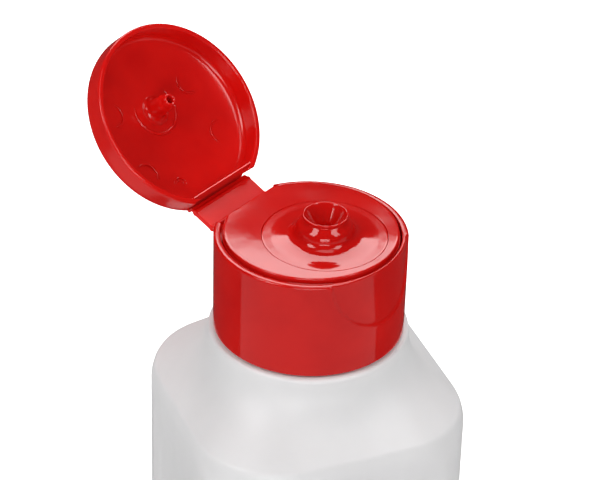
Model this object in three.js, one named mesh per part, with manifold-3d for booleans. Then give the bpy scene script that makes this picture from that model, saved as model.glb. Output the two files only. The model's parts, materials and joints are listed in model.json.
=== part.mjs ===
// Square squeeze wash bottle with a flip-top dispensing closure, lid standing open.
// Units are millimetres, +Z is up, and the origin is the middle of the bottle's flat base.
// The bottle's four faces look along +X, -X, +Y and -Y.
import * as THREE from 'three';
import { mergeVertices } from 'three/addons/utils/BufferGeometryUtils.js';
import Module from 'manifold-3d';

// ---------------------------------------------------------------- driving dimensions

// bottle body: a square with wide round corners
const BODY_HALF = 28.75;
const BODY_CORNER = 17;
const BODY_WALL = 1.1;
const HEEL_RADIUS = 3.5;
const EAVE_Z = 84.6; // where the four straight roof slopes of the shoulder start
const EAVE_DROP = 1.9; // height of the rounding below the eave
const EAVE_INSET = 0.4; // how far the rounding pulls the eave inwards
const ROOF_SLOPE = 0.916; // rise of the shoulder for each mm it runs inwards
const ROOF_CORNER_RATE = 0.53; // how fast the round corner tightens up the roof

// neck and the round collar that the closure sits on
const LEDGE_Z = 122; // top of the closure's rim, the closure's own z = 0
const COLLAR_RADIUS = 20.4;
const COLLAR_TOP = LEDGE_Z - 21.7;
const NECK_RADIUS = 12.5;
const NECK_BORE = 10.8;
const NECK_TOP = LEDGE_Z - 1.3;

// thread, 28 mm finish
const THREAD_PITCH = 4.2;
const THREAD_TURNS = 1.25;
const THREAD_HEIGHT = 1.3;
const NECK_THREAD_Z = LEDGE_Z - 10.4;

// closure base, in the closure's own frame: z = 0 is its rim, +X points to the hinge
const SHELL_RADIUS = 19.5;
const SHELL_INNER = 18.1;
const SHELL_BOTTOM = -21.3;
const HINGE_AZIMUTH = 120; // degrees about +Z, as the closure is screwed down
const THUMB_WIDTH = 40; // degrees to each side of the recess's middle
const THUMB_HEIGHT = 12.5;
const THUMB_DEPTH = 0.75;
const DECK_RADIUS = 17.53;
const DECK_TOP = 0.83;
const DECK_UNDERSIDE = -0.9;
const DECK_CHORD = 15.74; // flat of the deck on its hinge side
const SLEEVE_RADIUS = 15.4;
const SLEEVE_BORE = 14.2;
const SLEEVE_BOTTOM = -14;
const PLUG_RADIUS = 10.4;

// nozzle, set off towards the thumb recess
const NOZZLE_OFFSET = 3.4;
const INSERT_RADIUS = 12.6;
const LIP_RADIUS = 4.58;
const LIP_Z = 5.95;
const THROAT_RADIUS = 1.95;

// hinge strap and lid
const RIM_GAP = 0.3; // between the closed lid's rim and the closure's rim
const FOLD_REACH = 17.75; // closure axis to both fold lines with the lid closed
const STRAP_LENGTH = 6.8;
const STRAP_WIDTH = 17.2;
const STRAP_THICKNESS = 1.1;
const FOLD_ANGLE = 67; // degrees that each fold line is open here
const LID_WALL = 1.15;
const LID_FLOOR_THICKNESS = 1.3;
const LID_RIM_TO_FILLET = 3.9; // straight height of the lid's side wall
const LID_DOME_EDGE = 78; // degrees, where the edge fillet runs into the dome
const LID_FILLET = 2.2;
const LID_DOME_RADIUS = 84;
const SPIGOT_LENGTH = 6;
const GAP = 0.3; // left between pieces that sit against each other

// flat land and open notch at the hinge, the same on the shell and, mirrored, on the lid
const LOWER_FOLD_Z = (RIM_GAP - STRAP_LENGTH) / 2;
const LAND_Z = LOWER_FOLD_Z - 1.05;
const NOTCH_HALF = STRAP_WIDTH / 2 + 2 * GAP;
const NOTCH_INNER = DECK_CHORD + GAP;
const NOTCH_WALL = 0.9; // wall that closes the lid along the notch
const LAND_BLOCK = 3.5; // depth of the solid land on the shell

// heights and half widths of the seals and the thread
const THREAD_ROOT_HALF = 1.1;
const THREAD_CREST_HALF = 0.55;
const THREAD_SUNK = 0.4; // how far the ridge reaches into its wall
const PLUG_BOTTOM = -5.5;
const PLUG_WALL = 0.9;
const SEAL_RING_HEIGHT = 1.1;
const SPIGOT_RADIUS = 1.3;
const SPIGOT_BORE = 0.6;
const SPIGOT_BORE_DEPTH = 3;
const SPIGOT_BASE_RADIUS = 2.3;

const COLOURS = { bottle: 0xe6e5e6, closure: 0xc4140f };

// ---------------------------------------------------------------- solids

const wasm = await Module();
wasm.setup();

function toManifold(geometry) {
  const plain = geometry.clone();
  plain.deleteAttribute('normal');
  plain.deleteAttribute('uv');
  const merged = mergeVertices(plain, 1e-4);
  return new wasm.Manifold(new wasm.Mesh({
    numProp: 3,
    vertProperties: new Float32Array(merged.attributes.position.array),
    triVerts: new Uint32Array(merged.index.array),
  }));
}

function toGeometry(solid) {
  const mesh = solid.getMesh();
  const geometry = new THREE.BufferGeometry();
  geometry.setAttribute('position', new THREE.BufferAttribute(mesh.vertProperties, 3));
  geometry.setIndex(new THREE.BufferAttribute(mesh.triVerts, 1));
  geometry.computeVertexNormals();
  return geometry;
}

function named(name, geometry, plastic) {
  const looks = plastic === 'bottle'
    ? { color: COLOURS.bottle, roughness: 0.5, metalness: 0 }
    : { color: COLOURS.closure, roughness: 0.25, metalness: 0 };
  const mesh = new THREE.Mesh(geometry, new THREE.MeshStandardMaterial(looks));
  mesh.name = name;
  return mesh;
}

// Body of revolution about +Z. points are [radius, z], in order from bottom outside to top inside.
function revolve(points, segments) {
  const outline = points.map(([radius, z]) => new THREE.Vector2(radius, z));
  return new THREE.LatheGeometry(outline, segments).rotateX(Math.PI / 2);
}

function ring(points, segments) {
  return revolve([...points, points[0]], segments);
}

function box(low, high) {
  const size = high.map((value, i) => value - low[i]);
  const middle = high.map((value, i) => (value + low[i]) / 2);
  return new THREE.BoxGeometry(...size).translate(...middle);
}

// Arc of [radius, z] points about a centre, from one angle in degrees to another.
function arc(centreRadius, centreZ, radius, from, to, steps) {
  return Array.from({ length: steps + 1 }, (_, i) => {
    const angle = THREE.MathUtils.degToRad(from + ((to - from) * i) / steps);
    return [centreRadius + radius * Math.cos(angle), centreZ + radius * Math.sin(angle)];
  });
}

// ---------------------------------------------------------------- thread

// A trapezoid ridge is extruded straight and then wrapped round the axis as a right-hand helix.
// direction is 1 for a ridge standing out of a neck, and -1 for one standing into a sleeve.
function threadRidge(wallRadius, startZ, direction) {
  const steps = 45;
  const section = new THREE.Shape([
    new THREE.Vector2(-THREAD_SUNK, -THREAD_ROOT_HALF),
    new THREE.Vector2(THREAD_HEIGHT, -THREAD_CREST_HALF),
    new THREE.Vector2(THREAD_HEIGHT, THREAD_CREST_HALF),
    new THREE.Vector2(-THREAD_SUNK, THREAD_ROOT_HALF),
  ]);
  const ridge = new THREE.ExtrudeGeometry(section, { depth: 1, steps, bevelEnabled: false });
  const position = ridge.attributes.position;
  for (let i = 0; i < position.count; i += 1) {
    const along = position.getZ(i);
    const fade = Math.min(1, 0.15 + 10 * Math.min(along, 1 - along));
    const out = position.getX(i);
    const height = out > 0 ? out * fade : out;
    const radius = wallRadius + direction * height;
    const angle = along * THREAD_TURNS * 2 * Math.PI;
    const z = startZ + position.getY(i) + along * THREAD_TURNS * THREAD_PITCH;
    position.setXYZ(i, radius * Math.cos(angle), radius * Math.sin(angle), z);
  }
  if (direction > 0) {
    turnInsideOut(ridge);
  }
  return ridge;
}

// Swaps two corners of each triangle of a geometry without an index.
function turnInsideOut(geometry) {
  const array = geometry.attributes.position.array;
  for (let i = 0; i < array.length; i += 9) {
    for (let k = 0; k < 3; k += 1) {
      [array[i + 3 + k], array[i + 6 + k]] = [array[i + 6 + k], array[i + 3 + k]];
    }
  }
}

// ---------------------------------------------------------------- bottle

// Distance from the axis to a rounded square's outline, at an azimuth in radians.
function squareRadius(half, corner, azimuth) {
  const c = Math.abs(Math.cos(azimuth));
  const s = Math.abs(Math.sin(azimuth));
  const inset = half - corner;
  const flat = half / Math.max(c, s);
  if (flat * Math.min(c, s) <= inset) {
    return flat;
  }
  return inset * (c + s) + Math.sqrt(corner ** 2 - (inset * (c - s)) ** 2);
}

// Half side of the roof's section whose outline passes through a given radius.
function roofHalfAt(radius, azimuth, half, corner) {
  let low = radius * 0.6;
  let high = radius;
  for (let i = 0; i < 40; i += 1) {
    const middle = (low + high) / 2;
    const round = Math.min(corner - ROOF_CORNER_RATE * (half - middle), middle);
    if (squareRadius(middle, round, azimuth) < radius) {
      low = middle;
    } else {
      high = middle;
    }
  }
  return (low + high) / 2;
}

// Rows of the bottle's skin from the middle of its base up to the collar. Each row gives
// [radius, z] at an azimuth. wall is 0 for the outside and the wall thickness for the inside.
function bodyRows(wall) {
  const half = BODY_HALF - wall;
  const corner = BODY_CORNER - wall;
  const eave = EAVE_Z - wall * 0.5;
  const square = (inset, z) => (azimuth) => [
    squareRadius(half - inset, corner - inset * 0.6, azimuth), z];
  const heel = arc(0, 0, HEEL_RADIUS, -90, 0, 4).map(([x, z]) => (
    square(HEEL_RADIUS - x, HEEL_RADIUS + z + wall)));
  const rounding = [1, 0.5, 0].map((t) => square(EAVE_INSET * (1 - t) ** 2, eave - EAVE_DROP * t));
  const roof = [0.33, 0.66, 1].map((t) => (azimuth) => {
    const top = roofHalfAt(COLLAR_RADIUS - wall, azimuth, half, corner);
    const side = half - EAVE_INSET + (top - half + EAVE_INSET) * t;
    const round = Math.min(corner - ROOF_CORNER_RATE * (half - side), side);
    return [squareRadius(side, round, azimuth), eave + ROOF_SLOPE * (half - side)];
  });
  return [
    () => [0, wall],
    ...heel,
    square(0, EAVE_Z / 2),
    ...rounding,
    ...roof,
  ];
}

function bottle() {
  const collar = [
    [COLLAR_RADIUS, COLLAR_TOP - 0.8],
    [COLLAR_RADIUS - 0.8, COLLAR_TOP],
    [NECK_RADIUS, COLLAR_TOP],
    [NECK_RADIUS, NECK_TOP - 0.3],
    [NECK_RADIUS - 0.3, NECK_TOP],
    [NECK_BORE, NECK_TOP],
    [NECK_BORE, COLLAR_TOP - 0.6],
    [COLLAR_RADIUS - 2.2, COLLAR_TOP - 1.6],
  ].map(([radius, z]) => () => [radius, z]);
  const rows = [...bodyRows(0), ...collar, ...bodyRows(BODY_WALL).reverse()];
  const segments = 64;
  const skin = revolve(rows.map((row, i) => [i, i]), segments);
  const position = skin.attributes.position;
  for (let i = 0; i < position.count; i += 1) {
    const azimuth = (Math.floor(i / rows.length) * 2 * Math.PI) / segments;
    const [radius, z] = rows[i % rows.length](azimuth);
    position.setXYZ(i, radius * Math.sin(azimuth), -radius * Math.cos(azimuth), z);
  }
  const thread = threadRidge(NECK_RADIUS, NECK_THREAD_Z, 1);
  const solid = toManifold(skin).add(toManifold(thread));
  return named('bottle', toGeometry(solid), 'bottle');
}

// ---------------------------------------------------------------- closure base

// How far the thumb recess sinks the shell at an azimuth (degrees from its middle) and height.
function thumbDepth(azimuth, z) {
  const q = (azimuth / THUMB_WIDTH) ** 2 + (z / THUMB_HEIGHT) ** 2;
  return q < 1 ? THUMB_DEPTH * (1 - q) : 0;
}

function closureShell() {
  const outside = [SHELL_BOTTOM, -14, -12.5, -10, -7.5, -5, -2.5, -0.6].map((z) => (
    [SHELL_RADIUS + z * 0.005, z]));
  const profile = [
    ...outside,
    [SHELL_RADIUS - 0.2, -0.15],
    [SHELL_RADIUS - 0.6, 0],
    [SHELL_INNER + 0.3, 0],
    [SHELL_INNER, -0.3],
    [SHELL_INNER, SHELL_BOTTOM],
  ];
  const skin = ring(profile, 60);
  const position = skin.attributes.position;
  for (let i = 0; i < position.count; i += 1) {
    const [x, y, z] = [position.getX(i), position.getY(i), position.getZ(i)];
    const radius = Math.hypot(x, y);
    const fromThumb = THREE.MathUtils.radToDeg(Math.atan2(y, -x));
    const share = (radius - SHELL_INNER) / (SHELL_RADIUS - SHELL_INNER);
    const sunk = 1 - (thumbDepth(fromThumb, z) * share) / radius;
    position.setXYZ(i, x * sunk, y * sunk, z);
  }
  const round = toManifold(revolve([
    [0, SHELL_BOTTOM], [SHELL_RADIUS - 0.1, SHELL_BOTTOM], [SHELL_RADIUS - 0.1, 0], [0, 0],
  ], 60));
  const land = toManifold(box([NOTCH_INNER, -NOTCH_HALF - 1, LAND_Z - LAND_BLOCK],
    [SHELL_RADIUS + 1, NOTCH_HALF + 1, LAND_Z])).intersect(round);
  const notch = toManifold(box([NOTCH_INNER, -NOTCH_HALF, LAND_Z],
    [SHELL_RADIUS + 2, NOTCH_HALF, 1]));
  const solid = toManifold(skin).add(land).subtract(notch);
  return named('closure_shell', toGeometry(solid), 'closure');
}

function closureDeck() {
  const flange = SHELL_INNER - GAP;
  const disc = toManifold(revolve([
    [0, DECK_UNDERSIDE],
    [DECK_RADIUS - 1.2, DECK_UNDERSIDE],
    [DECK_RADIUS - 1.2, -3],
    [flange, -3],
    [flange, -1.6],
    [DECK_RADIUS, -1.6],
    [DECK_RADIUS, DECK_TOP - 0.25],
    [DECK_RADIUS - 0.25, DECK_TOP],
    [0, DECK_TOP],
  ], 60));
  const seat = revolve([
    [0, -2], [INSERT_RADIUS + 0.25, -2], [INSERT_RADIUS + 0.25, 2], [0, 2],
  ], 48).translate(-NOZZLE_OFFSET, 0, 0);
  const chord = box([DECK_CHORD, -SHELL_RADIUS, -4], [SHELL_RADIUS, SHELL_RADIUS, 2]);
  const solid = disc.subtract(toManifold(seat)).subtract(toManifold(chord));
  return named('closure_deck', toGeometry(solid), 'closure');
}

function nozzle() {
  const profile = [
    [THROAT_RADIUS, DECK_UNDERSIDE],
    [INSERT_RADIUS, DECK_UNDERSIDE],
    [INSERT_RADIUS, DECK_TOP],
    [9, DECK_TOP],
    [7.6, 1],
    [6.5, 1.5],
    [5.6, 2.3],
    [4.8, 3.2],
    [4.4, 4.1],
    [4.4, 4.8],
    [LIP_RADIUS, 5.4],
    [LIP_RADIUS, LIP_Z - 0.15],
    [LIP_RADIUS - 0.15, LIP_Z],
    [LIP_RADIUS - 0.3, LIP_Z],
    [THROAT_RADIUS + 0.25, 2.4],
    [THROAT_RADIUS, 2],
  ];
  const mesh = named('nozzle', ring(profile, 36), 'closure');
  mesh.position.x = -NOZZLE_OFFSET;
  return mesh;
}

function threadedSleeve() {
  const top = DECK_UNDERSIDE - GAP;
  const tube = toManifold(ring([
    [SLEEVE_BORE, SLEEVE_BOTTOM],
    [SLEEVE_RADIUS, SLEEVE_BOTTOM],
    [SLEEVE_RADIUS, top],
    [SLEEVE_BORE, top],
  ], 48));
  // half a pitch below the neck's ridge, at the angle that the closure is screwed down to
  const start = NECK_THREAD_Z - LEDGE_Z + THREAD_PITCH * (HINGE_AZIMUTH / 360 - 0.5);
  const thread = toManifold(threadRidge(SLEEVE_BORE, start, -1));
  return named('threaded_sleeve', toGeometry(tube.add(thread)), 'closure');
}

function plugSeal() {
  const top = DECK_UNDERSIDE - GAP;
  return named('plug_seal', ring([
    [PLUG_RADIUS - PLUG_WALL + 0.2, PLUG_BOTTOM],
    [PLUG_RADIUS - 0.35, PLUG_BOTTOM],
    [PLUG_RADIUS, PLUG_BOTTOM + 0.9],
    [PLUG_RADIUS, top],
    [PLUG_RADIUS - PLUG_WALL, top],
    [PLUG_RADIUS - PLUG_WALL, PLUG_BOTTOM + 0.5],
  ], 40), 'closure');
}

// ---------------------------------------------------------------- hinge strap

// A stiff plate that thins out to the two fold lines at its ends. In its own frame the lower
// fold line is the Y axis and the plate stands up along +Z, as it does with the lid closed.
function hingeStrap() {
  const end = 0.25;
  const thick = STRAP_THICKNESS / 2;
  const outline = new THREE.Shape([
    new THREE.Vector2(-end, 0.1),
    new THREE.Vector2(end, 0.1),
    new THREE.Vector2(thick, 1.1),
    new THREE.Vector2(thick, STRAP_LENGTH - 1.1),
    new THREE.Vector2(end, STRAP_LENGTH - 0.1),
    new THREE.Vector2(-end, STRAP_LENGTH - 0.1),
    new THREE.Vector2(-thick, STRAP_LENGTH - 1.1),
    new THREE.Vector2(-thick, 1.1),
  ]);
  const plate = new THREE.ExtrudeGeometry(outline, { depth: STRAP_WIDTH, bevelEnabled: false });
  plate.rotateX(Math.PI / 2).translate(0, STRAP_WIDTH / 2, 0);
  return named('hinge_strap', plate, 'closure');
}

// ---------------------------------------------------------------- lid

// The lid's own frame: z = 0 is its open rim, +Z points to its domed outside.
function lidDomeZ(radius) {
  const edgeAngle = THREE.MathUtils.degToRad(LID_DOME_EDGE);
  const centreZ = LID_RIM_TO_FILLET + LID_FILLET * Math.sin(edgeAngle);
  const edge = SHELL_RADIUS - LID_FILLET + LID_FILLET * Math.cos(edgeAngle);
  const drop = (r) => LID_DOME_RADIUS - Math.sqrt(LID_DOME_RADIUS ** 2 - r ** 2);
  return centreZ + drop(edge) - drop(radius);
}

function lidShell() {
  const outerEdge = SHELL_RADIUS - LID_FILLET;
  const innerWall = SHELL_RADIUS - LID_WALL;
  const floorZ = (radius) => lidDomeZ(radius) - LID_FLOOR_THICKNESS;
  const inside = [0, 6, 12].map((radius) => [radius, floorZ(radius)]);
  const outside = [12, 6, 0].map((radius) => [radius, lidDomeZ(radius)]);
  const profile = [
    ...inside,
    ...arc(innerWall - 1.4, floorZ(17.2) - 1.4, 1.4, LID_DOME_EDGE, 0, 3),
    [innerWall, 0.3],
    [innerWall + 0.3, 0],
    [SHELL_RADIUS - 0.3, 0],
    [SHELL_RADIUS, 0.3],
    ...arc(outerEdge, LID_RIM_TO_FILLET, LID_FILLET, 0, LID_DOME_EDGE, 4),
    ...outside,
  ];
  const skin = toManifold(revolve(profile, 60));
  const landZ = -LAND_Z;
  const inWall = toManifold(revolve([
    [0, 0], [innerWall + 0.3, 0], [innerWall + 0.3, floorZ(17.2)], [0, floorZ(0) + 0.5],
  ], 60));
  const chordWall = toManifold(box([NOTCH_INNER, -NOTCH_HALF - 1, 0],
    [NOTCH_INNER + NOTCH_WALL, NOTCH_HALF + 1, 9])).intersect(inWall);
  const notch = toManifold(box([NOTCH_INNER + NOTCH_WALL, -NOTCH_HALF, -1],
    [SHELL_RADIUS + 2, NOTCH_HALF, landZ]));
  const landBlock = toManifold(box([NOTCH_INNER + 0.5, -NOTCH_HALF - 1, landZ],
    [SHELL_RADIUS, NOTCH_HALF + 1, landZ + 1])).intersect(toManifold(revolve([
    [0, 0], [SHELL_RADIUS - 0.7, 0], [SHELL_RADIUS - 0.7, landZ + 0.9], [0, landZ + 0.9],
  ], 60)));
  const solid = skin.add(chordWall).add(landBlock).subtract(notch);
  return named('lid_shell', toGeometry(solid), 'closure');
}

// Hollow peg that closes the nozzle's throat. It hangs from the lid's floor.
function lidSpigot() {
  const floor = lidDomeZ(NOZZLE_OFFSET) - LID_FLOOR_THICKNESS - GAP;
  const tip = floor + GAP - SPIGOT_LENGTH;
  const mesh = named('lid_spigot', revolve([
    [0, tip + SPIGOT_BORE_DEPTH],
    [SPIGOT_BORE, tip + SPIGOT_BORE_DEPTH],
    [SPIGOT_BORE, tip],
    [SPIGOT_RADIUS - 0.3, tip],
    [SPIGOT_RADIUS - 0.05, tip + 0.4],
    [SPIGOT_RADIUS, floor - 2.2],
    [SPIGOT_BASE_RADIUS, floor - 0.8],
    [SPIGOT_BASE_RADIUS, floor],
    [0, floor],
  ], 24), 'closure');
  mesh.position.x = -NOZZLE_OFFSET;
  return mesh;
}

// Low ring that comes down round the nozzle's lip.
function lidSealRing() {
  const floor = lidDomeZ(9) - LID_FLOOR_THICKNESS - GAP;
  const mesh = named('lid_seal_ring', ring([
    [LIP_RADIUS + 0.35, floor - SEAL_RING_HEIGHT],
    [LIP_RADIUS + 0.85, floor - SEAL_RING_HEIGHT],
    [LIP_RADIUS + 1, floor],
    [LIP_RADIUS + 0.35, floor],
  ], 36), 'closure');
  mesh.position.x = -NOZZLE_OFFSET;
  return mesh;
}

// ---------------------------------------------------------------- assembly

const fold = THREE.MathUtils.degToRad(FOLD_ANGLE);

const lid = new THREE.Group();
lid.add(lidShell(), lidSpigot(), lidSealRing());
lid.position.set(-FOLD_REACH, 0, LOWER_FOLD_Z);

const lidFold = new THREE.Group();
lidFold.add(lid);
lidFold.position.z = STRAP_LENGTH;
lidFold.rotation.y = fold;

const strapFold = new THREE.Group();
strapFold.add(hingeStrap(), lidFold);
strapFold.position.set(FOLD_REACH, 0, LOWER_FOLD_Z);
strapFold.rotation.y = fold;

const closure = new THREE.Group();
closure.add(closureShell(), closureDeck(), nozzle(), threadedSleeve(), plugSeal(), strapFold);
closure.position.z = LEDGE_Z;
closure.rotation.z = THREE.MathUtils.degToRad(HINGE_AZIMUTH);

const washBottle = new THREE.Group();
washBottle.add(bottle(), closure);

export default washBottle;
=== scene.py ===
"""Looks of the square squeeze bottle with its flip-top dispensing closure, lid standing open.

Pieces are modelled in millimetres in the frame of the part that they belong to (bottle, closure,
strap or lid) and are then placed in the row frame, in metres, by that part's matrix.
"""

import json
import math

import bmesh
import bpy
from mathutils import Matrix, Vector, noise


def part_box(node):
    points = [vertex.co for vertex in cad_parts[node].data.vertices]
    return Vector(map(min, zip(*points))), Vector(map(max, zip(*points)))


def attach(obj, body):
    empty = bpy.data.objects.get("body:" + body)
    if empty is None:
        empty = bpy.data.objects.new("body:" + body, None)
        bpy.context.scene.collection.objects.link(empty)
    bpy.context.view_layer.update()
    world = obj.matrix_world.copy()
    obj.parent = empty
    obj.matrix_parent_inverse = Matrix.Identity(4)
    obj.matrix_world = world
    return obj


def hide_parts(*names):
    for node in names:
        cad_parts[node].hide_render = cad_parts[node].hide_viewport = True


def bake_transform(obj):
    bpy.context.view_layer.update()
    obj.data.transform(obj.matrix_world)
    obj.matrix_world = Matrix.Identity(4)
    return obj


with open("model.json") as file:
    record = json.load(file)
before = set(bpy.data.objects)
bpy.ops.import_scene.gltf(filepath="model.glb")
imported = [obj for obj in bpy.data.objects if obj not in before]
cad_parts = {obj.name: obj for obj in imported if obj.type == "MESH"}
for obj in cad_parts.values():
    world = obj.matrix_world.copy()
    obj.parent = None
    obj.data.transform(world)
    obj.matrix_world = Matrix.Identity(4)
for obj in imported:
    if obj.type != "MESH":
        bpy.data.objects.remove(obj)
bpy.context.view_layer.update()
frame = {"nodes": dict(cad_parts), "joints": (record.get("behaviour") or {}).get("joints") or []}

# ---------------------------------------------------------------- sizes, in mm

MM = 0.001

# from the frame
JOINTS = {joint["name"]: joint for joint in frame["joints"]}
STRAP_FOLD = Vector(JOINTS["strap_fold"]["pos_m"]) / MM
LID_FOLD = Vector(JOINTS["lid_fold"]["pos_m"]) / MM
LEDGE_Z = JOINTS["closure_turn"]["pos_m"][2] / MM
HINGE_AZIMUTH = math.atan2(STRAP_FOLD.y, STRAP_FOLD.x)
FOLD_REACH = math.hypot(STRAP_FOLD.x, STRAP_FOLD.y)
LOWER_FOLD_Z = STRAP_FOLD.z - LEDGE_Z
STRAP_LENGTH = (LID_FOLD - STRAP_FOLD).length
FOLD_ANGLE = math.radians(-JOINTS["strap_fold"]["range_deg"][0])

BODY_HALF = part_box("bottle")[1].x / MM
NECK_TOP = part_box("bottle")[1].z / MM
SHELL_RADIUS = -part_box("closure_shell")[0].x / MM
SHELL_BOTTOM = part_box("closure_shell")[0].z / MM - LEDGE_Z
DECK_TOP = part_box("closure_deck")[1].z / MM - LEDGE_Z
LIP_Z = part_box("nozzle")[1].z / MM - LEDGE_Z

# bottle body and the four straight slopes of its shoulder
BODY_CORNER = 17
BODY_WALL = 1.1
HEEL_RADIUS = 3.5
BASE_HOLLOW = ((0, 1.2), (15, 1.1), (18.5, 0))  # radius and height of the hollow under the base
EAVE_Z = 84.6
EAVE_DROP = 3.2
EAVE_INSET = 0.5
CORNER_RATE = 0.6  # how fast the round corners tighten with a row's inset
ROOF_SLOPE = 0.916
ROOF_CORNER_RATE = 0.53
FILLET_START = 0.45  # share of the slope that stays straight below the fillet
FILLET_RISE = 5.5  # from the slope's own end up to where the fillet meets the collar
EAVE_ROWS = 8
FILLET_ROWS = 10

# collar, neck and thread
COLLAR_RADIUS = 20.4
COLLAR_TOP = LEDGE_Z - 21.7
COLLAR_ROUND = 0.8
NECK_RADIUS = 12.5
NECK_BORE = 10.8
NECK_FOOT = 0.6
NECK_LIP_ROUND = 0.4
NECK_LIP_CHAMFER = 0.3
THREAD_PITCH = 4.2
THREAD_TURNS = 1.25
THREAD_HEIGHT = 1.3
THREAD_ROOT = -0.4  # how deep the ridge's foot sits in the neck
THREAD_END_HEIGHT = 0.15  # share of the height at the thread's very ends
THREAD_FADE_RATE = 10
NECK_THREAD_Z = LEDGE_Z - 10.4

# stepped label panel in each side of the body
PANEL_TOP = 80
PANEL_BOTTOM = 8
PANEL_HALF_WIDTH = 17
PANEL_CORNER = 4
PANEL_EDGE = 0.6
PANEL_STEPS = 3
PANEL_STEP_INSET = 3.5
PANEL_STEP_DEPTH = 0.15

# closure skirt and its thumb recess (width in degrees to each side)
GAP = 0.3  # between the closure's separate pieces
SHELL_INNER = 18.1
FOOT_INNER_ROUND = 0.3
FOOT_OUTER_ROUND = 0.35
FOOT_INSET = 0.1
RIM_OUTER_ROUND = 0.55
RIM_INNER_ROUND = 0.25
THUMB_WIDTH = 40
THUMB_HEIGHT = 12.5
THUMB_DEPTH = 1
THUMB_STEP_SHARE = 0.4  # share of the depth that is taken at the recess's crisp edge
THUMB_STEP_WIDTH = 0.07

# deck and nozzle
DECK_RADIUS = 17.53
DECK_CHORD = 15.74
DECK_UNDERSIDE = -0.9
DECK_FLANGE_BOTTOM = -3
DECK_FLANGE_TOP = -0.5
DECK_GROOVE_Z = -0.35
DECK_ROUND = 0.35
HEAVE_LENGTH = 9
HEAVE_HEIGHT = 0.035
HEAVE_SINK = 0.03
NOZZLE_OFFSET = 3.4
INSERT_RADIUS = 12.6
INSERT_ROUND = 0.12
SEAT_CLEARANCE = 0.06
MOUND_RADIUS = 10.6
MOUND = (
    (MOUND_RADIUS, DECK_TOP), (9.6, 0.88), (8.6, 1), (7.7, 1.17), (7, 1.42), (6.4, 1.82), (6, 2.35),
    (5.82, 2.95), (5.6, 3.55), (5.2, 4.15), (4.65, 4.68), (4.33, 5.02), (4.32, 5.26), (4.48, 5.52),
)
LIP_RADIUS = 4.58
LIP_ROUND = 0.22
THROAT_RADIUS = 1.95
THROAT_TOP = 2.1

# hinge
STRAP_WIDTH = 17.2
STRAP_THICKNESS = 1.1
STRAP_END_EASE = 0.12
STRAP_RIB = 0.15
WEB_THICKNESS = 0.5
WEB_NARROWING = 0.4
LAND_Z = LOWER_FOLD_Z - 1.05
LAND_DEPTH = 3
NOTCH_HALF = STRAP_WIDTH / 2 + 2 * GAP
NOTCH_INNER = DECK_CHORD + GAP
BEAD_RADIUS = 0.3
BEAD_HEIGHTS = (0.35, 1.5)

# lid, in its own frame: z = 0 is its rim when it is shut
LID_WALL = 1.15
LID_FILLET = 2.2
LID_INNER_FILLET = 1.5
LID_RIM_TO_FILLET = 3.9
LID_RIM_INNER_ROUND = 0.35
LID_RIM_OUTER_ROUND = 0.4
LID_DOME_RADIUS = 84
LID_DOME_EDGE = 78  # degrees of the fillet's arc, where it meets the dome
LID_FLOOR_THICKNESS = 1.3
LID_FLOOR_EDGE = 17.2
NOTCH_WALL = 0.9
SPIGOT_LENGTH = 6
MARK_SINK = 0.15
EJECTOR_MARKS = ((-6.6, 10.9), (-4.9, -10.9), (7.4, -11.4), (7.4, 11.5))
EJECTOR_RADIUS = 2.5
CAVITY_MARK = (12.3, 5.4)
CAVITY_RADII = (0.9, 1.5)


# ---------------------------------------------------------------- the parts' frames

def closure_matrix():
    return Matrix.Translation((0, 0, LEDGE_Z)) @ Matrix.Rotation(HINGE_AZIMUTH, 4, "Z")


def strap_matrix():
    at_fold = Matrix.Translation((FOLD_REACH, 0, LOWER_FOLD_Z))
    return closure_matrix() @ at_fold @ Matrix.Rotation(FOLD_ANGLE, 4, "Y")


def lid_matrix():
    at_fold = Matrix.Translation((0, 0, STRAP_LENGTH)) @ Matrix.Rotation(FOLD_ANGLE, 4, "Y")
    return strap_matrix() @ at_fold @ Matrix.Translation((-FOLD_REACH, 0, LOWER_FOLD_Z))


CLOSURE = closure_matrix()
STRAP = strap_matrix()
LID = lid_matrix()
BOTTLE = Matrix.Identity(4)


# ---------------------------------------------------------------- mesh helpers

def make_piece(name, vertices, faces, sharp_degrees=35):
    """A smooth mesh object with its crisp edges marked, its normals facing out."""
    mesh = bpy.data.meshes.new(name)
    mesh.from_pydata(vertices, [], faces)
    piece = bpy.data.objects.new(name, mesh)
    bpy.context.scene.collection.objects.link(piece)
    tidy_mesh(mesh, sharp_degrees)
    return piece


def tidy_mesh(mesh, sharp_degrees=35):
    """Welds double points, turns the normals out and marks the crisp edges."""
    work = bmesh.new()
    work.from_mesh(mesh)
    bmesh.ops.remove_doubles(work, verts=work.verts, dist=1e-4)
    bmesh.ops.recalc_face_normals(work, faces=work.faces)
    work.to_mesh(mesh)
    work.free()
    mesh.shade_smooth()
    mesh.set_sharp_from_angle(angle=math.radians(sharp_degrees))


def lathe(name, profile, segments=192, shape=None, centre=(0, 0), closed=False):
    """Turns [radius, z] points about a Z axis. shape moves a point: (x, y, z) to (x, y, z).
    A closed profile makes a ring; an open one starts and ends on the axis."""
    vertices, faces = [], []
    for radius, z in profile:
        for i in range(segments):
            angle = 2 * math.pi * i / segments
            point = (radius * math.cos(angle), radius * math.sin(angle), z)
            x, y, z_moved = shape(*point) if shape else point
            vertices.append((x + centre[0], y + centre[1], z_moved))
    last = len(profile) if closed else len(profile) - 1
    for r in range(last):
        below, above = r * segments, ((r + 1) % len(profile)) * segments
        for i in range(segments):
            j = (i + 1) % segments
            faces.append((below + i, below + j, above + j, above + i))
    piece = make_piece(name, vertices, faces)
    drop_flat_faces(piece.data)
    return piece


def drop_flat_faces(mesh):
    """Removes the faces without area that a row on the axis leaves."""
    work = bmesh.new()
    work.from_mesh(mesh)
    bmesh.ops.dissolve_degenerate(work, edges=work.edges, dist=1e-5)
    work.to_mesh(mesh)
    work.free()


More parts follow.
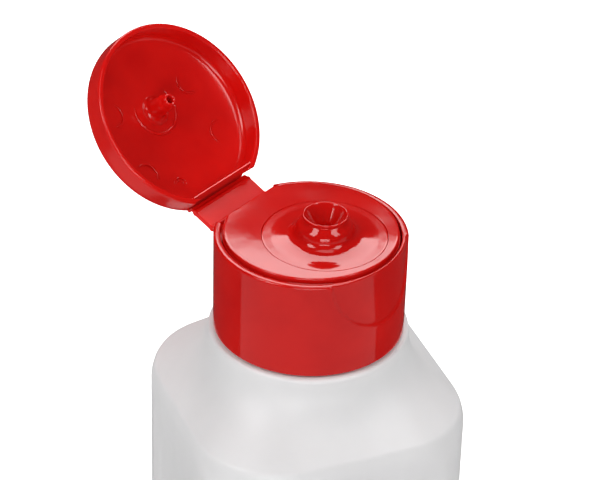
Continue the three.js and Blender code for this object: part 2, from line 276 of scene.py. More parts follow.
def arc(centre_radius, centre_z, radius, start, end, steps):
    """[radius, z] points of an arc, from one angle in degrees to another."""
    angles = [math.radians(start + (end - start) * i / steps) for i in range(steps + 1)]
    return [(centre_radius + radius * math.cos(a), centre_z + radius * math.sin(a)) for a in angles]


def line(start, end, steps):
    """Points from start up to, and without, end."""
    return [tuple(a + (b - a) * i / steps for a, b in zip(start, end)) for i in range(steps)]


def smooth_curve(points, steps=6):
    """Catmull-Rom curve through the points."""
    ends = [points[0], *points, points[-1]]
    curve = []
    for p0, p1, p2, p3 in zip(ends, ends[1:], ends[2:], ends[3:]):
        for i in range(steps):
            t = i / steps
            curve.append(tuple(
                0.5 * (2 * b + (c - a) * t + (2 * a - 5 * b + 4 * c - d) * t * t
                       + (3 * b - a - 3 * c + d) * t ** 3)
                for a, b, c, d in zip(p0, p1, p2, p3)))
    return curve + [points[-1]]


def block(name, low, high):
    """A plain box, used only to cut or join."""
    xs, ys, zs = zip(low, high)
    vertices = [(x, y, z) for x in xs for y in ys for z in zs]
    faces = [(0, 1, 3, 2), (4, 6, 7, 5), (0, 4, 5, 1), (2, 3, 7, 6), (0, 2, 6, 4), (1, 5, 7, 3)]
    return make_piece(name, vertices, faces)


def combine(piece, other, operation):
    """Cuts or joins piece with other, which is used up."""
    modifier = piece.modifiers.new("combine", "BOOLEAN")
    modifier.operation = operation
    modifier.object = other
    modifier.solver = "EXACT"
    bpy.context.view_layer.update()
    depsgraph = bpy.context.evaluated_depsgraph_get()
    result = bpy.data.meshes.new_from_object(piece.evaluated_get(depsgraph))
    piece.modifiers.clear()
    piece.data = result
    bpy.data.objects.remove(other)
    tidy_mesh(result)
    return piece


def place(piece, matrix, material, body, slot, *replaced):
    piece.data.transform(Matrix.Scale(MM, 4) @ matrix)
    piece.data.materials.clear()
    piece.data.materials.append(material)
    if body:
        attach(piece, body)
    if replaced:
        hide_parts(*replaced)
    return piece


# ---------------------------------------------------------------- materials

RED_DEEP = (0.57, 0.0045, 0.0035)
RED_BRIGHT = (0.64, 0.0070, 0.0050)
MILK_DULL = (0.8, 0.792, 0.797)
MILK_CLEAR = (0.84, 0.832, 0.837)


def new_material(name):
    material = bpy.data.materials.new(name)
    material.use_nodes = True
    nodes = material.node_tree.nodes
    return material, nodes, material.node_tree.links, nodes["Principled BSDF"]


def noise_node(nodes, links, scale, detail, stretch=(1, 1, 1)):
    """Noise in the piece's own coordinates, at a scale in waves per metre."""
    place_node = nodes.new("ShaderNodeTexCoord")
    mapping = nodes.new("ShaderNodeMapping")
    mapping.inputs["Scale"].default_value = stretch
    texture = nodes.new("ShaderNodeTexNoise")
    texture.inputs["Scale"].default_value = scale
    texture.inputs["Detail"].default_value = detail
    links.new(place_node.outputs["Object"], mapping.inputs["Vector"])
    links.new(mapping.outputs["Vector"], texture.inputs["Vector"])
    return texture.outputs["Fac"]


def ramp(nodes, links, factor, low, high, start=0.35, end=0.65):
    """Maps a noise value to a colour between low and high."""
    node = nodes.new("ShaderNodeValToRGB")
    node.color_ramp.elements[0].position = start
    node.color_ramp.elements[1].position = end
    node.color_ramp.elements[0].color = (*low, 1)
    node.color_ramp.elements[1].color = (*high, 1)
    links.new(factor, node.inputs["Fac"])
    return node.outputs["Color"]


def spread(nodes, links, factor, low, high):
    """Maps a noise value to a number between low and high."""
    node = nodes.new("ShaderNodeMapRange")
    node.inputs["From Min"].default_value = 0.3
    node.inputs["From Max"].default_value = 0.7
    node.inputs["To Min"].default_value = low
    node.inputs["To Max"].default_value = high
    links.new(factor, node.inputs["Value"])
    return node.outputs["Result"]


def bump(nodes, links, layers):
    """Stacks bump layers: (height, strength, distance in metres)."""
    normal = None
    for height, strength, distance in layers:
        node = nodes.new("ShaderNodeBump")
        node.inputs["Strength"].default_value = strength
        node.inputs["Distance"].default_value = distance
        links.new(height, node.inputs["Height"])
        if normal:
            links.new(normal, node.inputs["Normal"])
        normal = node.outputs["Normal"]
    return normal


def red_polypropylene(name, roughness, gain=1):
    """Glossy moulded red plastic: slow flow marks, faint colour drift and fine surface texture."""
    material, nodes, links, shader = new_material(name)
    drift = noise_node(nodes, links, 90, 3)
    flow = noise_node(nodes, links, 160, 2, (1, 1, 0.35))
    grain = noise_node(nodes, links, 5200, 4)
    deep, bright = [[c * gain for c in colour] for colour in (RED_DEEP, RED_BRIGHT)]
    colour = ramp(nodes, links, drift, deep, bright)
    links.new(colour, shader.inputs["Base Color"])
    uneven = spread(nodes, links, grain, roughness * 0.85, roughness * 1.15)
    links.new(uneven, shader.inputs["Roughness"])
    layers = [(flow, 0.12, 0.00012), (grain, 0.05, 0.000012)]
    links.new(bump(nodes, links, layers), shader.inputs["Normal"])
    shader.inputs["IOR"].default_value = 1.49
    shader.inputs["Subsurface Weight"].default_value = 0.25
    shader.inputs["Subsurface Radius"].default_value = (1.0, 0.12, 0.08)
    shader.inputs["Subsurface Scale"].default_value = 0.0012
    return material


def milky_polyethylene(name):
    """Natural squeeze-bottle plastic: light soaks in and scatters, the skin is satin."""
    material, nodes, links, shader = new_material(name)
    cloud = noise_node(nodes, links, 60, 3, (1, 1, 0.5))
    mottle = noise_node(nodes, links, 900, 4)
    grain = noise_node(nodes, links, 4200, 5)
    links.new(ramp(nodes, links, cloud, MILK_DULL, MILK_CLEAR), shader.inputs["Base Color"])
    links.new(spread(nodes, links, mottle, 0.36, 0.46), shader.inputs["Roughness"])
    layers = [(cloud, 0.1, 0.0002), (mottle, 0.12, 0.00003), (grain, 0.15, 0.00001)]
    links.new(bump(nodes, links, layers), shader.inputs["Normal"])
    shader.inputs["IOR"].default_value = 1.5
    shader.inputs["Subsurface Weight"].default_value = 0.5
    shader.inputs["Subsurface Radius"].default_value = (1.0, 0.98, 0.96)
    shader.inputs["Subsurface Scale"].default_value = 0.0016
    return material


RED_SHELL = red_polypropylene("red_polypropylene_skirt", 0.09)
RED_DECK = red_polypropylene("red_polypropylene_deck", 0.055)
RED_LID = red_polypropylene("red_polypropylene_lid", 0.14, 1.12)
# gain 1.3 lifts the thin strap, webs and beads to a brighter red: painted light, standing in for light
# that shines through the thin plastic
RED_THIN_PAINTED_LIGHT = red_polypropylene("red_polypropylene_thin_painted_light", 0.18, 1.3)
RED_HIDDEN = red_polypropylene("red_polypropylene_inside", 0.3)
MILK = milky_polyethylene("milky_polyethylene")


# ---------------------------------------------------------------- bottle

def square_radius(half, corner, azimuth):
    """Distance from the axis to the outline of a rounded square."""
    c, s = abs(math.cos(azimuth)), abs(math.sin(azimuth))
    inset = half - corner
    flat = half / max(c, s)
    if flat * min(c, s) <= inset:
        return flat
    return inset * (c + s) + math.sqrt(max(corner ** 2 - (inset * (c - s)) ** 2, 0))


def roof_corner(half, corner, side):
    """Corner radius of the roof's section where its half side is side."""
    return min(corner - ROOF_CORNER_RATE * (half - side), side)


def roof_half_at(radius, azimuth, half, corner):
    """Half side of the roof's section whose outline passes through a radius."""
    low, high = radius * 0.6, radius
    for _ in range(26):
        middle = (low + high) / 2
        if square_radius(middle, roof_corner(half, corner, middle), azimuth) < radius:
            low = middle
        else:
            high = middle
    return (low + high) / 2


def smooth_step(value, start, end):
    t = min(max((value - start) / (end - start), 0), 1)
    return t * t * (3 - 2 * t)


def panel_depth(across, z):
    """How far the stepped label panel sinks a side face."""
    depth = 0
    for step in range(PANEL_STEPS):
        inset = step * PANEL_STEP_INSET
        width = PANEL_HALF_WIDTH - inset
        top, bottom = PANEL_TOP - inset, PANEL_BOTTOM + inset
        dx = max(abs(across) - (width - PANEL_CORNER), 0)
        dz = max(z - (top - PANEL_CORNER), (bottom + PANEL_CORNER) - z, 0)
        outside = smooth_step(math.hypot(dx, dz), PANEL_CORNER - PANEL_EDGE, PANEL_CORNER + PANEL_EDGE)
        depth += PANEL_STEP_DEPTH * (1 - outside)
    return depth


def round_rows(points):
    """Rows that are the same at every azimuth, from (radius, z) points."""
    return [(lambda azimuth, point=point: point) for point in points]


def bottle_rows(wall, body_steps, roof_steps, detail):
    """Rows of the skin from the middle of the base up to the collar. Each gives (radius, z) at an
    azimuth. wall is how far the skin lies inside the outside; detail adds the label panels."""
    half, corner = BODY_HALF - wall, BODY_CORNER - wall
    eave = EAVE_Z - wall * 0.5

    def wall_row(inset, z):
        def row(azimuth):
            radius = square_radius(half - inset, corner - inset * CORNER_RATE, azimuth)
            across = radius * math.sin(azimuth)
            if detail and abs(across) < PANEL_HALF_WIDTH + 2 and z > HEEL_RADIUS:
                radius -= panel_depth(across, z) / abs(math.cos(azimuth))
            return radius, z
        return row

    def roof_point(azimuth, t):
        top = roof_half_at(COLLAR_RADIUS - wall, azimuth, half, corner)
        start = half - EAVE_INSET
        side = start + (top - start) * t
        radius = square_radius(side, roof_corner(half, corner, side), azimuth)
        return radius, eave + ROOF_SLOPE * (half - side)

    def roof_row(t):
        return lambda azimuth: roof_point(azimuth, t * FILLET_START)

    def fillet_row(t):
        def row(azimuth):
            low, corner_point = roof_point(azimuth, FILLET_START), roof_point(azimuth, 1)
            high = (COLLAR_RADIUS - wall, min(corner_point[1] + FILLET_RISE, COLLAR_TOP - 1 - wall))
            return tuple(a * (1 - t) ** 2 + 2 * b * t * (1 - t) + c * t * t
                         for a, b, c in zip(low, corner_point, high))
        return row

    rows = round_rows([(radius, wall + height) for radius, height in BASE_HOLLOW])
    for radius, z in arc(0, 0, HEEL_RADIUS, -90, 0, 8):
        rows.append(wall_row(HEEL_RADIUS - radius, HEEL_RADIUS + z + wall * (z < 0)))
    straight = eave - EAVE_DROP - HEEL_RADIUS - wall
    for i in range(1, body_steps):
        rows.append(wall_row(0, HEEL_RADIUS + wall + straight * i / body_steps))
    for i in range(EAVE_ROWS + 1):
        t = 1 - i / EAVE_ROWS
        rows.append(wall_row(EAVE_INSET * (1 - t) ** 2, eave - EAVE_DROP * t))
    rows += [roof_row((i + 1) / roof_steps) for i in range(roof_steps)]
    rows += [fillet_row((i + 1) / FILLET_ROWS) for i in range(FILLET_ROWS)]
    return rows


def bottle_body():
    segments = 288
    inner_base = bottle_rows(BODY_WALL, 12, 6, False)
    collar_and_neck = [
        (COLLAR_RADIUS - 0.05, COLLAR_TOP - COLLAR_ROUND),
        *arc(COLLAR_RADIUS - COLLAR_ROUND, COLLAR_TOP - COLLAR_ROUND, COLLAR_ROUND, 0, 90, 5),
        (NECK_RADIUS + NECK_FOOT, COLLAR_TOP),
        (NECK_RADIUS, COLLAR_TOP + NECK_FOOT),
        *arc(NECK_RADIUS - NECK_LIP_ROUND, NECK_TOP - NECK_LIP_ROUND, NECK_LIP_ROUND, 0, 90, 4),
        (NECK_BORE + NECK_LIP_CHAMFER, NECK_TOP),
        (NECK_BORE, NECK_TOP - NECK_LIP_CHAMFER),
        (NECK_BORE, COLLAR_TOP - 0.6),
        (COLLAR_RADIUS - 2.2, COLLAR_TOP - 1.6),
    ]
    rows = bottle_rows(0, 96, 14, True) + round_rows(collar_and_neck) + inner_base[::-1]
    vertices, faces = [], []
    for row in rows:
        for i in range(segments):
            azimuth = 2 * math.pi * i / segments
            radius, z = row(azimuth)
            vertices.append((radius * math.cos(azimuth), radius * math.sin(azimuth), z))
    for r in range(len(rows) - 1):
        for i in range(segments):
            j = (i + 1) % segments
            low, high = r * segments, (r + 1) * segments
            faces.append((low + i, low + j, high + j, high + i))
    piece = make_piece("bottle_body", vertices, faces, sharp_degrees=40)
    drop_flat_faces(piece.data)
    return place(piece, BOTTLE, MILK, "bottle", "bottle_body", "bottle")


def neck_thread():
    """The neck's right-hand thread, a ridge that fades in and out."""
    steps = 120
    flank = [(THREAD_ROOT, -1.1), (0.6, -0.85), (1, -0.5)]  # share of the height, and mm along Z
    section = flank + [(out, -up) for out, up in reversed(flank)]
    vertices, faces = [], []
    count = len(section)
    for i in range(steps + 1):
        t = i / steps
        fade = min(1, THREAD_END_HEIGHT + THREAD_FADE_RATE * min(t, 1 - t))
        angle = t * THREAD_TURNS * 2 * math.pi
        for out, up in section:
            radius = NECK_RADIUS + (out * THREAD_HEIGHT * fade if out > 0 else out)
            z = NECK_THREAD_Z + up + t * THREAD_TURNS * THREAD_PITCH
            vertices.append((radius * math.cos(angle), radius * math.sin(angle), z))
    for i in range(steps):
        for k in range(count):
            n = (k + 1) % count
            faces.append((i * count + k, i * count + n, (i + 1) * count + n, (i + 1) * count + k))
    faces += [tuple(range(count)), tuple(steps * count + k for k in range(count))]
    return place(make_piece("neck_thread", vertices, faces), BOTTLE, MILK, "bottle", "bottle_body")


# ---------------------------------------------------------------- closure

def thumb_recess(x, y, z):
    """Sinks the skirt's outside at the thumb recess, with a crisp lower edge."""
    radius = math.hypot(x, y)
    azimuth = math.degrees(math.atan2(y, -x))
    q = (azimuth / THUMB_WIDTH) ** 2 + (z / THUMB_HEIGHT) ** 2
    share = max((radius - SHELL_INNER) / (SHELL_RADIUS - SHELL_INNER), 0)
    inside = max(1 - q, 0)
    step = min(inside / THUMB_STEP_WIDTH, 1)
    depth = THUMB_DEPTH * (THUMB_STEP_SHARE * step + (1 - THUMB_STEP_SHARE) * inside)
    sunk = 1 - depth * share / radius
    return x * sunk, y * sunk, z


def closure_skirt():
    outer = SHELL_RADIUS
    foot = outer - FOOT_INSET
    profile = [
        (SHELL_INNER, SHELL_BOTTOM + FOOT_INNER_ROUND),
        *arc(SHELL_INNER + FOOT_INNER_ROUND, SHELL_BOTTOM + FOOT_INNER_ROUND, FOOT_INNER_ROUND,
             180, 270, 3),
        *arc(foot - FOOT_OUTER_ROUND, SHELL_BOTTOM + FOOT_OUTER_ROUND, FOOT_OUTER_ROUND, 270, 360, 4),
        *line((foot, SHELL_BOTTOM + 0.5), (outer, -RIM_OUTER_ROUND), 60),
        *arc(outer - RIM_OUTER_ROUND, -RIM_OUTER_ROUND, RIM_OUTER_ROUND, 0, 90, 8),
        *arc(SHELL_INNER + RIM_INNER_ROUND, -RIM_INNER_ROUND, RIM_INNER_ROUND, 90, 180, 4),
        *line((SHELL_INNER, -0.5), (SHELL_INNER, SHELL_BOTTOM + 0.5), 6),
    ]
    piece = lathe("closure_skirt", profile, 360, thumb_recess, closed=True)
    edge, low = outer - 0.15, LAND_Z - LAND_DEPTH
    land = lathe("land", [(0, low), (edge, low), (edge, LAND_Z), (0, LAND_Z)], 180)
    window = block("window", (NOTCH_INNER, -NOTCH_HALF - 1, low - 1), (outer + 1, NOTCH_HALF + 1, 1))
    combine(land, window, "INTERSECT")
    combine(piece, land, "UNION")
    notch = block("notch", (NOTCH_INNER - 0.5, -NOTCH_HALF, LAND_Z), (outer + 2, NOTCH_HALF, 1))
    combine(piece, notch, "DIFFERENCE")
    return place(piece, CLOSURE, RED_SHELL, "closure", "closure", "closure_shell")


def deck_wave(x, y, z):
    """Moulded plates are never dead flat: the deck's top heaves by a few hundredths of a mm."""
    if z < DECK_TOP - 0.1:
        return x, y, z
    heave = noise.noise(Vector((x, y, 0)) / HEAVE_LENGTH) * HEAVE_HEIGHT - HEAVE_SINK
    return x, y, z + heave


def closure_deck():
    flange = SHELL_INNER - GAP
    flange_inner = DECK_RADIUS - 1.2
    profile = [
        (0, DECK_UNDERSIDE),
        (flange_inner, DECK_UNDERSIDE),
        (flange_inner, DECK_FLANGE_BOTTOM),
        (flange, DECK_FLANGE_BOTTOM),
        (flange, DECK_FLANGE_TOP),
        (DECK_RADIUS, DECK_GROOVE_Z),
        *arc(DECK_RADIUS - DECK_ROUND, DECK_TOP - DECK_ROUND, DECK_ROUND, 0, 90, 6),
        *line((DECK_RADIUS - 0.6, DECK_TOP), (0, DECK_TOP), 36),
        (0, DECK_TOP),
    ]
    piece = lathe("closure_deck", profile, 240, deck_wave)
    radius, low, high = INSERT_RADIUS + SEAT_CLEARANCE, DECK_FLANGE_BOTTOM - 0.5, DECK_TOP + 1
    seat = lathe("seat", [(0, low), (radius, low), (radius, high), (0, high)], 180,
                 centre=(-NOZZLE_OFFSET, 0))
    combine(piece, seat, "DIFFERENCE")
    chord = block("chord", (DECK_CHORD, -30, -5), (30, 30, 3))
    combine(piece, chord, "DIFFERENCE")
    piece.name = "deck_plate"
    return place(piece, CLOSURE, RED_DECK, "closure", "closure", "closure_deck")


def nozzle_insert():
    profile = [
        (THROAT_RADIUS, DECK_UNDERSIDE),
        (INSERT_RADIUS - 0.15, DECK_UNDERSIDE),
        *arc(INSERT_RADIUS - INSERT_ROUND, DECK_TOP - INSERT_ROUND, INSERT_ROUND, 0, 90, 4),
        *line((INSERT_RADIUS - 0.4, DECK_TOP), (MOUND_RADIUS, DECK_TOP), 4),
        *smooth_curve(MOUND, 5),
        *arc(LIP_RADIUS - LIP_ROUND, LIP_Z - LIP_ROUND, LIP_ROUND, 0, 150, 7),
        *line((LIP_RADIUS - 0.62, LIP_Z - 0.5), (THROAT_RADIUS + 0.2, THROAT_TOP + 0.5), 8),
        (THROAT_RADIUS, THROAT_TOP),
    ]
    piece = lathe("nozzle_insert", profile, 180, closed=True, centre=(-NOZZLE_OFFSET, 0))
    return place(piece, CLOSURE, RED_DECK, "closure", "closure", "nozzle")


# ---------------------------------------------------------------- hinge

def extrude_outline(name, outline, width, edge=0.35):
    """A plate with an [x, z] outline, as wide as width along Y. edge is the share of its thickness
    that is eased off at its two ends."""
    end = width / 2
    shoulder = end - STRAP_END_EASE
    ys = [(-end, 1 - edge), (-shoulder, 1), (shoulder, 1), (end, 1 - edge)]
    middle = Vector((sum(p[0] for p in outline), sum(p[1] for p in outline))) / len(outline)
    vertices, faces = [], []
    for y, scale in ys:
        for x, z in outline:
            eased = middle.x + (x - middle.x) * scale if scale < 1 else x
            vertices.append((eased, y, z))
    count = len(outline)
    for r in range(len(ys) - 1):
        for k in range(count):
            n = (k + 1) % count
            faces.append((r * count + k, r * count + n, (r + 1) * count + n, (r + 1) * count + k))
    faces += [tuple(range(count)), tuple((len(ys) - 1) * count + k for k in range(count))]
    return make_piece(name, vertices, faces, sharp_degrees=30)


def hinge_strap():
    """Stiff plate that thins to its two fold lines, with a raised rib along each of them."""
    thick = STRAP_THICKNESS / 2
    rib = thick + STRAP_RIB
    side = [
        (0.25, 0.1), (0.3, 0.45),
        (rib - 0.1, 0.75), (rib, 0.9), (rib, 1.2),
        (thick, 1.4), (thick, 1.7),
    ]
    upper = [(x, STRAP_LENGTH - z) for x, z in reversed(side)]
    right = side + upper
    left = [(-x, z) for x, z in reversed(right)]
    piece = extrude_outline("strap_plate", right + left, STRAP_WIDTH)
    return place(piece, STRAP, RED_THIN_PAINTED_LIGHT, "strap", "closure", "hinge_strap")


def fold_web(name, low, fold, high):
    """A thin web across the strap's width that runs from low over the fold line to high."""
    path = [low.lerp(fold, t / 6) for t in range(6)] + [fold.lerp(high, t / 6) for t in range(7)]
    last = len(path) - 1
    outline = []
    for side, order in ((1, range(last + 1)), (-1, range(last, -1, -1))):
        for i in order:
            along = (path[min(i + 1, last)] - path[max(i - 1, 0)]).normalized()
            out = Vector((along.y, -along.x)) * side * WEB_THICKNESS / 2
            outline.append(tuple(path[i] + out))
    return extrude_outline(name, outline, STRAP_WIDTH - WEB_NARROWING, 0)


def living_hinges():
    """The two thin webs at the fold lines, each running over its fold from one piece into the next;
    neither is attached to a body.
    """
    lean = Vector((math.sin(FOLD_ANGLE), math.cos(FOLD_ANGLE)))
    fold = Vector((FOLD_REACH, LOWER_FOLD_Z))
    lower = fold_web("lower_fold", Vector((FOLD_REACH, LAND_Z - 0.3)), fold, fold + lean * 0.8)
    place(lower, CLOSURE, RED_THIN_PAINTED_LIGHT, None, "closure")
    bend(lower)
    top = Vector((0, STRAP_LENGTH))
    upper = fold_web("upper_fold", top - Vector((0, 0.8)), top, top + lean * 1.35)
    place(upper, STRAP, RED_THIN_PAINTED_LIGHT, None, "closure")
    bend(upper)


def bend(piece):
    """Bakes the piece's placement into its mesh."""
    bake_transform(piece)


# ---------------------------------------------------------------- lid

def dome_drop(radius):
    """How far the dome's sphere has fallen from its middle at a radius."""
    return LID_DOME_RADIUS - math.sqrt(LID_DOME_RADIUS ** 2 - radius ** 2)


def lid_dome_z(radius):
    """Height of the lid's domed outside above its rim."""
    angle = math.radians(LID_DOME_EDGE)
    edge = SHELL_RADIUS - LID_FILLET + LID_FILLET * math.cos(angle)
    edge_z = LID_RIM_TO_FILLET + LID_FILLET * math.sin(angle)
    return edge_z + dome_drop(edge) - dome_drop(radius)


def lid_floor_z(radius):
    """Height of the lid's inside floor above its rim."""
    return lid_dome_z(radius) - LID_FLOOR_THICKNESS


def lid_cup():
    outer = SHELL_RADIUS
    inner = outer - LID_WALL
    corner_z = lid_floor_z(LID_FLOOR_EDGE)
    rim_in, rim_out = LID_RIM_INNER_ROUND, LID_RIM_OUTER_ROUND
    profile = [
        *[(radius, lid_floor_z(radius)) for radius in (0, 3, 6, 9, 11, 13, 15, 16.3)],
        *arc(inner - LID_INNER_FILLET, corner_z - LID_INNER_FILLET, LID_INNER_FILLET,
             LID_DOME_EDGE, 0, 8),
        *line((inner, 3), (inner, rim_in + 0.1), 3),
        *arc(inner + rim_in, rim_in, rim_in, 180, 270, 4),
        *arc(outer - rim_out, rim_out, rim_out, 270, 360, 5),
        *line((outer, rim_out + 0.5), (outer, LID_RIM_TO_FILLET), 4),
        *arc(outer - LID_FILLET, LID_RIM_TO_FILLET, LID_FILLET, 0, LID_DOME_EDGE, 12),
        *[(radius, lid_dome_z(radius)) for radius in (17, 16, 14, 12, 9, 6, 3, 0)],
    ]
    piece = lathe("lid_cup", profile, 300)
    notch_outer = NOTCH_INNER + NOTCH_WALL
    land_z = -LAND_Z
    land_top = land_z + 0.9
    wide = NOTCH_HALF + 1

    wall_edge = inner + 0.3
    inside = [(0, 0.6), (wall_edge, 0.6), (wall_edge, corner_z), (0, lid_floor_z(0) + 0.5)]
    wall = block("wall", (NOTCH_INNER, -wide, -1), (notch_outer, wide, 9))
    combine(wall, lathe("inside", inside, 120), "INTERSECT")
    combine(piece, wall, "UNION")

    notch = block("notch", (notch_outer, -NOTCH_HALF, -1), (outer + 2, NOTCH_HALF, land_z))
    combine(piece, notch, "DIFFERENCE")

    edge = outer - 0.7
    land = block("land", (NOTCH_INNER + 0.5, -wide, land_z), (outer, wide, land_z + 1))
    rounded = lathe("rounded", [(0, 0), (edge, 0), (edge, land_top), (0, land_top)], 120)
    combine(land, rounded, "INTERSECT")
    combine(piece, land, "UNION")
    return place(piece, LID, RED_LID, "lid", "closure", "lid_shell")


def lid_spigot():
    floor = lid_floor_z(NOZZLE_OFFSET) + 0.05
    tip = floor - SPIGOT_LENGTH
    outside = [
        (1.45, tip + 0.7), (1.55, tip + 1.3), (1.85, tip + 2), (1.9, tip + 3.4),
        (2.1, floor - 1.2), (2.6, floor - 0.45), (3.4, floor),
    ]
    profile = [
        (0, tip + 3), (0.7, tip + 3), (0.75, tip + 0.3),
        *arc(1.05, tip + 0.3, 0.3, 180, 350, 7),
        *smooth_curve(outside, 4),
        (0, floor),
    ]
    piece = lathe("spigot", profile, 96, centre=(-NOZZLE_OFFSET, 0))
    return place(piece, LID, RED_LID, "lid", "closure", "lid_spigot")


def low_ring(name, radius, half_width, height, centre):
    """A low rounded ring that stands out of the lid's floor."""
    floor = lid_floor_z(math.hypot(*centre)) + 0.1
    angles = [math.pi * i / 8 for i in range(9)]
    section = [(radius - half_width * math.cos(a), floor - height * math.sin(a)) for a in angles]
    sunk = floor + MARK_SINK
    profile = [*section, (radius + half_width, sunk), (radius - half_width, sunk)]
    return lathe(name, profile, 120, centre=centre, closed=True)


def hinge_ribs():
    """Two low beads along the lid's flat wall at the hinge."""
    x = NOTCH_INNER + 0.07
    angles = [math.pi * k / 6 for k in range(7)]
    for i, z in enumerate(BEAD_HEIGHTS):
        outline = [(x - BEAD_RADIUS * math.sin(a), z - BEAD_RADIUS * math.cos(a)) for a in angles]
        bead = extrude_outline(f"hinge_bead_{i}", outline, 2 * (NOTCH_HALF - GAP), 0)
        place(bead, LID, RED_THIN_PAINTED_LIGHT, "lid", "closure")


def lid_marks():
    """The seal ring, four ejector marks, and a plain double ring in place of the mould's marks."""
    seal = low_ring("seal_ring", LIP_RADIUS + 0.6, 0.35, 0.4, (-NOZZLE_OFFSET, 0))
    place(seal, LID, RED_LID, "lid", "closure", "lid_seal_ring")
    for i, centre in enumerate(EJECTOR_MARKS):
        mark = low_ring(f"ejector_mark_{i}", EJECTOR_RADIUS, 0.2, 0.06, centre)
        place(mark, LID, RED_LID, "lid", "closure")
    for i, radius in enumerate(CAVITY_RADII):
        mark = low_ring(f"cavity_mark_{i}", radius, 0.13, 0.1, CAVITY_MARK)
        place(mark, LID, RED_LID, "lid", "closure")


# ---------------------------------------------------------------- stage, light and camera

VIEW_AZIMUTH = math.radians(-22.37)
VIEW_ELEVATION = math.radians(33.62)
VIEW_ROLL = math.radians(-1.68)
VIEW_DISTANCE = 578.4
VIEW_SHIFT = (2.235, 1.455)
LENS = 174.5
AIM = Vector((0, 0, LEDGE_Z)) * MM

STAGE_REACH = 6
BOUNCE_REACH = 3
BOUNCE_HALF_ANGLE = 84
BOUNCE_Z = 0.002
FLOOR_GLOW = 0.95
BOUNCE_GLOW = 0.42
WORLD_STRENGTH = 0.05
SOFTBOXES = (
    # name, azimuth, elevation, distance, width, height, power
    ("back_softbox", 180, 46.9, 1.6, 1.3, 0.75, 15),
    ("left_softbox", -55, 42, 1.3, 0.45, 0.7, 6.2),
    ("right_softbox", 55, 46, 1.3, 0.45, 0.7, 5),
    ("top_softbox", 20, 82, 1.4, 0.6, 0.6, 2),
    ("front_fill", 0, 12, 2, 1.2, 0.7, 12),
)
PALE = (0.9, 0.9, 0.9)
DARK = (0.02, 0.02, 0.02)


def stage_material(name, colour, glow):
    """Matt paper that also glows a little."""
    material, nodes, links, shader = new_material(name)
    paper = noise_node(nodes, links, 30, 4)
    links.new(ramp(nodes, links, paper, [c * 0.97 for c in colour], colour), shader.inputs["Base Color"])
    shader.inputs["Roughness"].default_value = 0.9
    shader.inputs["Emission Color"].default_value = (1, 1, 1, 1)
    shader.inputs["Emission Strength"].default_value = glow
    return material


def stage_piece(name, mesh, material, camera, glossy, diffuse):
    """Sets a mesh on the stage and says which rays see it. It casts no shadow."""
    piece = bpy.data.objects.new(name, mesh)
    bpy.context.scene.collection.objects.link(piece)
    mesh.materials.append(material)
    piece.visible_camera = camera
    piece.visible_glossy = glossy
    piece.visible_diffuse = diffuse
    piece.visible_transmission = diffuse
    piece.visible_shadow = False


def flat_card(name, corners, material, camera, glossy, diffuse):
    mesh = bpy.data.meshes.new(name)
    mesh.from_pydata(corners, [], [tuple(range(len(corners)))])
    stage_piece(name, mesh, material, camera, glossy, diffuse)


def sector(radius, start, end, z, steps=24):
    """Corners of a flat slice of a disc; angles are degrees from the direction to the camera."""
    middle = VIEW_AZIMUTH - math.pi / 2
    angles = [middle + math.radians(start + (end - start) * i / steps) for i in range(steps + 1)]
    return [(0, 0, z)] + [(radius * math.cos(a), radius * math.sin(a), z) for a in angles]


def floor_and_backdrop():
    """A pale floor that the camera sees, a dimmer card on it that the object's gloss sees, and a
    pale dome that only the camera sees."""
    reach = STAGE_REACH
    corners = [(-reach, -reach, 0), (reach, -reach, 0), (reach, reach, 0), (-reach, reach, 0)]
    pale = stage_material("pale_floor", PALE, FLOOR_GLOW)
    flat_card("floor", corners, pale, camera=True, glossy=False, diffuse=True)
    slice_of_floor = sector(BOUNCE_REACH, -BOUNCE_HALF_ANGLE, BOUNCE_HALF_ANGLE, BOUNCE_Z)
    bounce = stage_material("floor_bounce", DARK, BOUNCE_GLOW)
    flat_card("floor_bounce", slice_of_floor, bounce, camera=False, glossy=True, diffuse=True)
    work = bmesh.new()
    bmesh.ops.create_uvsphere(work, u_segments=48, v_segments=24, radius=reach)
    mesh = bpy.data.meshes.new("backdrop")
    work.to_mesh(mesh)
    work.free()
    dome_material = stage_material("pale_backdrop", DARK, 1.0)
    stage_piece("backdrop", mesh, dome_material, camera=True, glossy=False, diffuse=False)


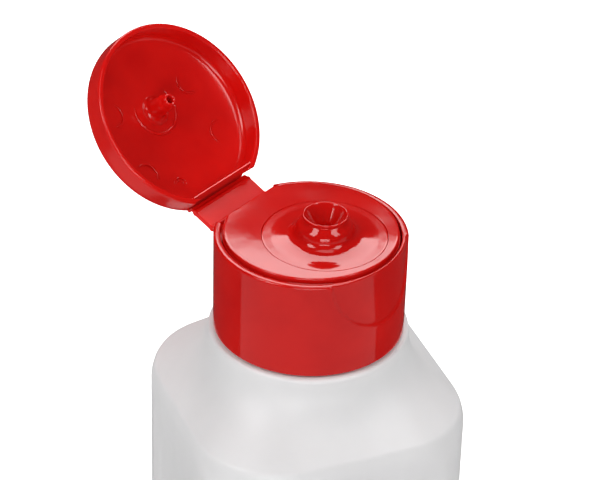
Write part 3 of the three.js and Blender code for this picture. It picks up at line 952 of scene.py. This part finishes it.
def softbox(name, azimuth, elevation, distance, width, height, power):
    """A soft light that faces the closure. Its azimuth is counted from the camera's side, and it and
    the elevation are in degrees; distance and size are in metres and power is in watts."""
    light = bpy.data.lights.new(name, "AREA")
    light.shape = "RECTANGLE"
    light.size, light.size_y = width, height
    light.energy = power
    lamp = bpy.data.objects.new(name, light)
    bpy.context.scene.collection.objects.link(lamp)
    a = VIEW_AZIMUTH - math.pi / 2 + math.radians(azimuth)
    e = math.radians(elevation)
    away = Vector((math.cos(a) * math.cos(e), math.sin(a) * math.cos(e), math.sin(e)))
    lamp.location = AIM + away * distance
    lamp.rotation_euler = away.to_track_quat("Z", "Y").to_euler()


def lights():
    for settings in SOFTBOXES:
        softbox(*settings)
    world = bpy.data.worlds.new("studio")
    world.use_nodes = True
    world.node_tree.nodes["Background"].inputs["Color"].default_value = (1, 1, 1, 1)
    world.node_tree.nodes["Background"].inputs["Strength"].default_value = WORLD_STRENGTH
    bpy.context.scene.world = world


def camera():
    """Looks down at the closure; the aim is shifted a little so that the open lid is in view."""
    right = Vector((1, 0, 0))
    forward = Vector((0, math.cos(VIEW_ELEVATION), -math.sin(VIEW_ELEVATION)))
    up = right.cross(forward)
    across = right * math.cos(VIEW_ROLL) - up * math.sin(VIEW_ROLL)
    upward = right * math.sin(VIEW_ROLL) + up * math.cos(VIEW_ROLL)
    centre = -across * VIEW_SHIFT[0] - upward * VIEW_SHIFT[1] - forward * VIEW_DISTANCE
    turn = Matrix.Rotation(VIEW_AZIMUTH, 4, "Z")
    axes = Matrix((across, upward, -forward)).transposed().to_4x4()
    data = bpy.data.cameras.new("camera")
    data.lens = LENS
    data.clip_start, data.clip_end = 0.01, 50
    view = bpy.data.objects.new("camera", data)
    view.matrix_world = Matrix.Translation(AIM) @ turn @ Matrix.Translation(centre * MM) @ axes
    bpy.context.scene.collection.objects.link(view)
    bpy.context.scene.camera = view


# ---------------------------------------------------------------- build

bottle_body()
neck_thread()
closure_skirt()
closure_deck()
nozzle_insert()
hinge_strap()
living_hinges()
lid_cup()
hinge_ribs()
lid_spigot()
lid_marks()

for node_name in ("threaded_sleeve", "plug_seal"):
    node_mesh = frame["nodes"][node_name].data
    node_mesh.materials.clear()
    node_mesh.materials.append(RED_HIDDEN)
    node_mesh.shade_smooth()
    node_mesh.set_sharp_from_angle(angle=math.radians(35))

floor_and_backdrop()
lights()
camera()
bpy.context.scene.view_settings.view_transform = "Standard"
